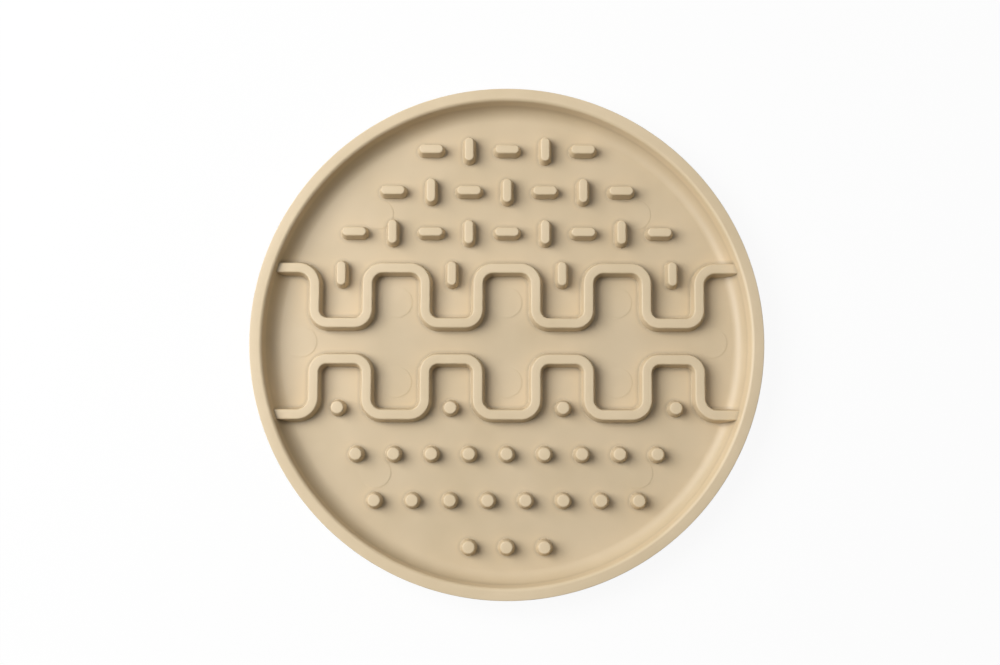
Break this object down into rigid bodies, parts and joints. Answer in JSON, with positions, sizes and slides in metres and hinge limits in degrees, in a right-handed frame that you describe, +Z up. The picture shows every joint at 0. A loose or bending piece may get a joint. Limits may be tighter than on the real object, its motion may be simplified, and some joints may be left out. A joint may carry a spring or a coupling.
{
  "type": "lick mat",
  "caption": "Round silicone lick mat for pets: a shallow tray with a raised rim, two square-wave ribs, rows of short bars and round studs, and suction cups underneath.",
  "frame": {"origin": "middle of the plane that the suction cups' lips stand on, under the centre of the round mat", "axes": "+Z up out of the tray, +Y from the rows of studs towards the rows of bars, +X to the right when the bars are at the top"},
  "size_m": [0.2, 0.2, 0.0145],
  "materials": {
    "silicone": "matte moulded silicone, sand beige"
  },
  "bodies": {
    "root": {"floor_disc": "silicone", "rim": "silicone", "upper_wave_rib": "silicone", "lower_wave_rib": "silicone", "wave_bars": "silicone", "bar_row_1": "silicone", "bar_row_2": "silicone", "bar_row_3": "silicone", "wave_studs": "silicone", "stud_row_1": "silicone", "stud_row_2": "silicone", "stud_row_3": "silicone", "suction_cup_1": "silicone", "suction_cup_2": "silicone", "suction_cup_3": "silicone", "suction_cup_4": "silicone", "suction_cup_5": "silicone", "suction_cup_6": "silicone", "suction_cup_7": "silicone", "suction_cup_8": "silicone", "suction_cup_9": "silicone", "suction_cup_10": "silicone", "suction_cup_11": "silicone", "suction_cup_12": "silicone"}
  },
  "joints": []
}
